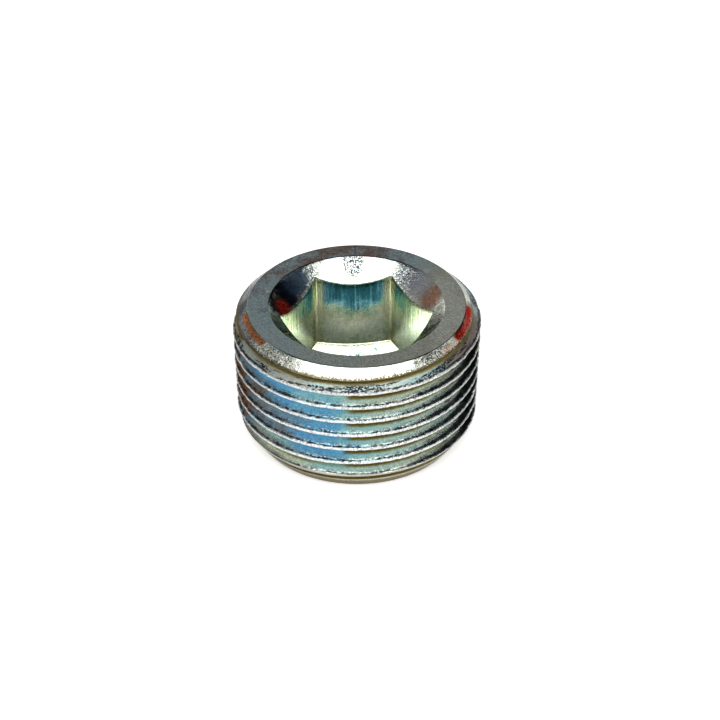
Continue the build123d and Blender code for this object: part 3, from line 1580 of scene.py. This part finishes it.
@dataclass(frozen=True)
class BroachedPlating(Plating):
    """Plating in the socket: streaks down the walls, a thicker film near the mouth."""

    name: str = "plated_broaching"
    film: tuple[Stop, ...] = (
        (0.00, (0.96, 0.99, 0.88)),
        (0.20, (0.84, 0.90, 0.67)),
        (0.40, (0.62, 0.78, 0.60)),
        (0.60, (0.38, 0.66, 0.59)),
        (0.80, (0.11, 0.33, 0.45)),
        (1.00, (0.020, 0.10, 0.13)),
    )
    edge_tint: Colour = (0.65, 0.70, 0.65)
    grain_depth: float = 0.008
    streak_depth: float = 0.03
    floor_radius: Point = (6.85, 7.1)
    mouth_band: Band = (8.0, 12.4)
    mouth_reach: float = 4.0
    mouth_grain: Grain = (0.55, 3.0, 0.6)
    streak_reach: float = 0.7
    streak_grain: Grain = (1.0, 3.0, 0.7)
    line_grain: Grain = (1.0, 3.0, 0.6)
    foot_band: Band = (5.4, 6.8, 0.25, 0.0)
    down_the_wall: Colour = (2.2, 2.2, 0.10)
    across_the_floor: Colour = (2.6, 0.5, 2.6)
    broach_lines: Colour = (4.0, 4.0, 0.12)
    floor_marks: Band = (0.57, 0.66, 0.0, 0.95)
    front_thinning: Band = (45.0, 75.0, 1.1, 0.0)
    corner_thinning: Band = (7.85, 8.1, 0.0, 0.55)
    side_thinning: Band = (4.7, 7.6, 0.0, 0.71)
    rear_start: Band = (90.0, 115.0)
    rear_end: Band = (150.0, 170.0, 1.0, 0.0)
    rear_thinning: Band = (-1.0, 1.0, 0.11, 0.34)
    strip_azimuth: Band = (125.0, 140.0)
    strip_radius: Band = (7.7, 8.0, 0.0, 0.55)
    corner_stain: Colour = (0.60, 0.58, 0.32)

    def thickness(self, skin: Skin) -> Signal:
        """Blue near the mouth, olive below, pale at the corners and bare on the floor.

        Args:
            skin: The finish's workbench.

        Returns:
            The thickness, from 0 to 1.
        """
        height = skin.height + skin.wander(self.mouth_reach, *self.mouth_grain)
        foot = skin.height.spread(*self.foot_band)
        streaks = skin.wander(
            self.streak_reach, *self.streak_grain, skin.stretched(self.down_the_wall)
        )
        film = height.spread(*self.mouth_band) + foot + streaks - self.thinned(skin)
        wall = skin.radius.spread(*self.floor_radius)
        marks = skin.grain(*self.streak_grain, skin.stretched(self.across_the_floor))
        marks = marks.spread(*self.floor_marks)
        return film * wall + marks * (1.0 - wall)

    def thinned(self, skin: Skin) -> Signal:
        """How much thinner the film is at the front, the sides, the rear and the corners.

        Args:
            skin: The finish's workbench.

        Returns:
            The thickness that is lost.
        """
        aside = abs(skin.azimuth)
        front = aside.spread(*self.front_thinning)
        corner = skin.radius.spread(*self.corner_thinning)
        side = abs(skin.azimuth.sine()) * skin.radius
        side = side.spread(*self.side_thinning)
        rear = aside.spread(*self.rear_start) * aside.spread(*self.rear_end)
        rear = rear * skin.azimuth.spread(*self.rear_thinning)
        return front + corner + side + rear

    def worn(self, skin: Skin, tone: Signal) -> Signal:
        """The film, with a straw-coloured strip down the two back corners.

        Args:
            skin: The finish's workbench.
            tone: The colour so far.

        Returns:
            The worn colour.
        """
        back = abs(skin.azimuth).spread(*self.strip_azimuth)
        strip = skin.radius.spread(*self.strip_radius)
        return skin.mix(strip * back, tone, self.corner_stain)

    def tool_marks(self, skin: Skin) -> Signal:
        """Streaks left by the broach."""
        lines = skin.grain(*self.line_grain, skin.stretched(self.broach_lines))
        return lines * self.streak_depth


@dataclass(frozen=True)
class PaleFloor:
    """A wide, matt, almost white table."""

    name: str = "floor"
    half_width: float = 3.0
    segments: int = 4
    colour: Colour = (0.93, 0.93, 0.93)
    roughness: float = 0.5
    lift: float = 0.46
    far_lift: float = 1.08
    near: float = 0.35
    far: float = 1.2

    def build(self) -> bpy.types.Object:
        """Makes the floor and its finish.

        Returns:
            The floor, with its finish on it.
        """
        bm = bmesh.new()
        bmesh.ops.create_grid(
            bm, x_segments=self.segments, y_segments=self.segments, size=self.half_width
        )
        floor = made_of(self.name, bm)
        floor.data.materials.append(self.material())
        return floor

    def material(self) -> bpy.types.Material:
        """Builds a matt finish that is seen paler than it is lit, and more so far away.

        Returns:
            The material, read from object coordinates.
        """
        material = bpy.data.materials.new(self.name)
        material.use_nodes = True
        bench = Workbench(material.node_tree)
        cloth = bench.add("ShaderNodeBsdfDiffuse", Color=self.colour, Roughness=self.roughness)
        path = bench.add("ShaderNodeLightPath").outputs
        seen, mirrored, seen_through = (
            Signal(bench, path[f"Is {kind} Ray"]) for kind in ("Camera", "Glossy", "Transmission")
        )
        away = bench.vector(VectorStep.LENGTH, bench.read("ShaderNodeTexCoord", "Object"))
        level = away.spread(self.near, self.far, self.lift, self.far_lift)
        level = seen.larger(mirrored).larger(seen_through) * level
        lift = bench.add("ShaderNodeEmission", Color=self.colour, Strength=level)
        both = bench.add("ShaderNodeAddShader")
        for socket, shader in zip(both.inputs, (cloth, lift)):
            bench.tree.links.new(shader.outputs[0], socket)
        bench.show(both)
        return material


@dataclass(frozen=True)
class Softbox:
    """A soft area lamp that looks at the plug."""

    name: str
    place: Colour
    width: float
    depth: float
    power: float
    aim: Colour = (0.0, 0.0, 0.01)

    def build(self) -> bpy.types.Object:
        """Makes the lamp and turns it to the plug.

        Returns:
            The lamp.
        """
        data = bpy.data.lights.new(self.name, "AREA")
        data.shape = "RECTANGLE"
        data.size = self.width
        data.size_y = self.depth
        data.energy = self.power
        lamp = stand(self.name, data)
        lamp.location = self.place
        towards = Vector(self.aim) - lamp.location
        lamp.rotation_euler = towards.to_track_quat("-Z", "Y").to_euler()
        return lamp


@dataclass(frozen=True)
class Glow:
    """A paler part of the room, round one direction. Angles in degrees."""

    azimuth: float
    elevation: float
    inner: float
    outer: float
    level: float

    def direction(self) -> Colour:
        """Points at the middle of the glow, with azimuth 0 at the back.

        Returns:
            The unit vector towards it.
        """
        up, round_up = math.radians(self.elevation), math.radians(self.azimuth)
        flat = math.cos(up)
        return flat * math.sin(round_up), flat * math.cos(round_up), math.sin(up)


@dataclass(frozen=True)
class Studio:
    """Floor, lamps, room and camera."""

    elevation: float = 35.3
    distance: float = 0.300
    aim: Colour = (0.00034, 0.0, 0.008)
    aim_up: float = 0.00037
    pixels_per_metre: float = 9220.0
    frame_width: float = 720.0
    sensor_width: float = 36.0
    clip_start: float = 0.01
    room_level: float = 0.010
    horizon: float = 12.0
    full_horizon: float = 7.8
    glows: tuple[Glow, ...] = (
        Glow(0.0, 35.0, 12.0, 30.0, 0.26),
        Glow(-58.0, 22.0, 18.0, 42.0, 0.26),
        Glow(55.0, 0.0, 8.0, 19.0, 0.90),
        Glow(180.0, 18.0, 15.0, 35.0, 0.40),
        Glow(82.0, 30.0, 10.0, 22.0, 0.75),
        Glow(-85.0, 33.0, 8.0, 20.0, 0.20),
        Glow(0.0, 90.0, 8.0, 28.0, 0.14),
    )
    lamps: tuple[Softbox, ...] = (Softbox("overhead", (0.0, -0.28, 0.5), 1.05, 0.36, 4.4),)

    def build_camera(self) -> bpy.types.Object:
        """Stands the camera so that the plug has its place and size in the view.

        Returns:
            The camera, which the scene uses.
        """
        angle = math.radians(self.elevation)
        back = Vector((0, -math.cos(angle), math.sin(angle)))
        up = Vector((0, math.sin(angle), math.cos(angle)))
        data = bpy.data.cameras.new("camera")
        data.sensor_width = self.sensor_width
        data.lens = self.sensor_width * self.pixels_per_metre * self.distance / self.frame_width
        data.clip_start = self.clip_start
        camera = stand("camera", data)
        camera.location = Vector(self.aim) + up * self.aim_up + back * self.distance
        camera.rotation_euler = (-back).to_track_quat("-Z", "Y").to_euler()
        bpy.context.scene.camera = camera
        return camera

    def build_room(self) -> None:
        """Lights the plug from a dim room with a few paler walls and a white horizon."""
        world = bpy.data.worlds.new("room")
        world.use_nodes = True
        bpy.context.scene.world = world
        bench = Workbench(world.node_tree)
        direction = bench.read("ShaderNodeTexCoord", "Generated")
        up = bench.read("ShaderNodeSeparateXYZ", "Z", Vector=direction)
        full, none = (math.sin(math.radians(edge)) for edge in (self.full_horizon, self.horizon))
        level = up.spread(full, none, 1.0, 0.0) + self.room_level
        for glow in self.glows:
            near = bench.vector(VectorStep.AGREEMENT, direction, glow.direction())
            inner, outer = (math.cos(math.radians(angle)) for angle in (glow.inner, glow.outer))
            level = level + near.spread(outer, inner, 0.0, glow.level)
        room = bench.read("ShaderNodeCombineColor", "Color", Red=level, Green=level, Blue=level)
        shade = bench.add("ShaderNodeBackground", Color=room, Strength=1.0)
        bench.show(shade, "ShaderNodeOutputWorld")

    def build(self) -> None:
        """Sets up the whole studio."""
        PaleFloor().build()
        for lamp in self.lamps:
            lamp.build()
        self.build_room()
        self.build_camera()
        bpy.context.scene.view_settings.view_transform = "Standard"


def main() -> None:
    """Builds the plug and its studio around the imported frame."""
    logging.basicConfig(level=logging.INFO, format="%(name)s: %(message)s")
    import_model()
    body = PlugBody()
    plug = body.build(CrestWear())
    for finish in (ThreadPlating(), TurnedPlating(), BroachedPlating()):
        plug.data.materials.append(finish.material())
    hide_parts(body.node)
    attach(plug, "root")
    log.info("studio")
    Studio().build()


if __name__ == "__main__":
    main()
